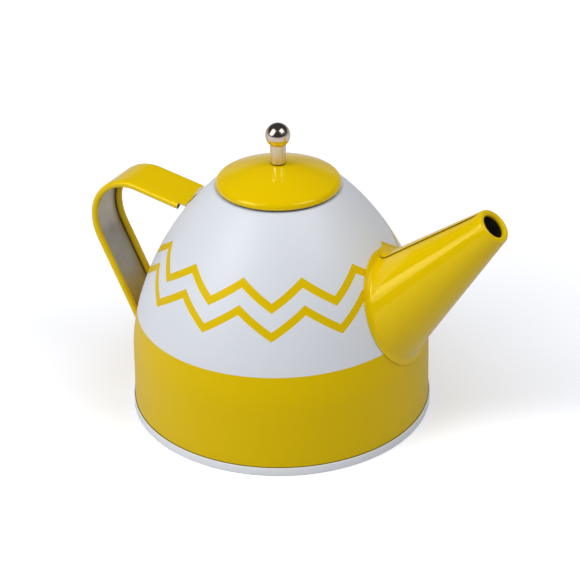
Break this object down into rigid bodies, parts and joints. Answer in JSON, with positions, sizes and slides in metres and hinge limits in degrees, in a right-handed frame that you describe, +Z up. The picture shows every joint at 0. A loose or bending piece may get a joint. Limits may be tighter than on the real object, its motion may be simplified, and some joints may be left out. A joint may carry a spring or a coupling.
{
  "type": "toy teapot",
  "caption": "Toy tin teapot with a domed body printed in two colours with a zigzag band, a conical spout, a strap handle with rolled edges, and a lift-off lid with a ball knob.",
  "frame": {"origin": "centre of the ring that the pot stands on, on the table plane and on the axis of the round body", "axes": "+Z up along the body's axis, +X towards the spout, the handle on the -X side"},
  "size_m": [0.1477, 0.1014, 0.1007],
  "materials": {
    "printed_tin": "gloss lithographed tin plate: white dome with a double yellow zigzag, yellow band below",
    "rim_paint": "gloss white enamel, slightly greyer than the wall",
    "yellow_enamel": "gloss yellow enamel on tin plate, bare tin on the inner side",
    "bare_tin": "bare tin plate, dull",
    "plated_knob": "bright nickel plate"
  },
  "bodies": {
    "pot": {"body_shell": "printed_tin", "base_plate": "rim_paint", "spout": "yellow_enamel", "handle": "yellow_enamel"},
    "lid": {"lid_cover": "yellow_enamel", "lid_collar": "bare_tin", "knob": "plated_knob", "knob_washer": "bare_tin"}
  },
  "joints": [
    {"name": "lid_lift", "type": "slide", "parent": "pot", "child": "lid", "axis": [0, 0, 1], "range_m": [0, 0.02]}
  ]
}
